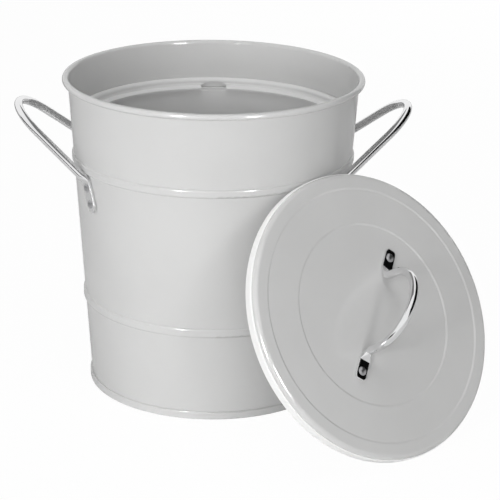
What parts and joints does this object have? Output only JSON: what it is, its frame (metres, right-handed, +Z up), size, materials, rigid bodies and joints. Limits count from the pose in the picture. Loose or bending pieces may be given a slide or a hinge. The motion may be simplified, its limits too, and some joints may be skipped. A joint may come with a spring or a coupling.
{
  "type": "kitchen compost caddy",
  "caption": "Light grey steel kitchen compost bucket with rod side handles, a lift-out inner pail and a loose lid that leans against its front",
  "frame": {"origin": "on the floor under the middle of the bucket, in the plane of the standing face", "axes": "Z is up along the bucket's axis, -Y is the front, X runs from the left handle to the right handle"},
  "size_m": [0.3343, 0.2983, 0.2274],
  "materials": {
    "grey_paint": "semi-gloss powder coat",
    "bright_steel": "polished",
    "pail_plastic": "satin",
    "white_seal": "soft satin"
  },
  "bodies": {
    "bucket": {"bucket_shell": "grey_paint", "bucket_base": "grey_paint", "left_handle": "bright_steel", "right_handle": "bright_steel", "left_front_rivets": "bright_steel", "left_rear_rivets": "bright_steel", "right_front_rivets": "bright_steel", "right_rear_rivets": "bright_steel"},
    "liner": {"liner_pail": "pail_plastic"},
    "bail": {"liner_bail": "pail_plastic"},
    "lid": {"lid_panel": "grey_paint", "lid_seal": "white_seal", "lid_handle": "bright_steel", "lid_upper_rivet": "bright_steel", "lid_lower_rivet": "bright_steel"}
  },
  "joints": [
    {"name": "liner_lift", "type": "slide", "parent": "bucket", "child": "liner", "axis": [0, 0, 1], "range_m": [0, 0.235]},
    {"name": "bail_hinge", "type": "hinge", "parent": "liner", "child": "bail", "pos_m": [0, 0, 0.1962], "axis": [-1, 0, 0], "range_deg": [0, 180]},
    {"name": "lid_away", "type": "slide", "parent": "bucket", "child": "lid", "axis": [0.551, -0.659, 0.512], "range_m": [0, 0.12]}
  ]
}
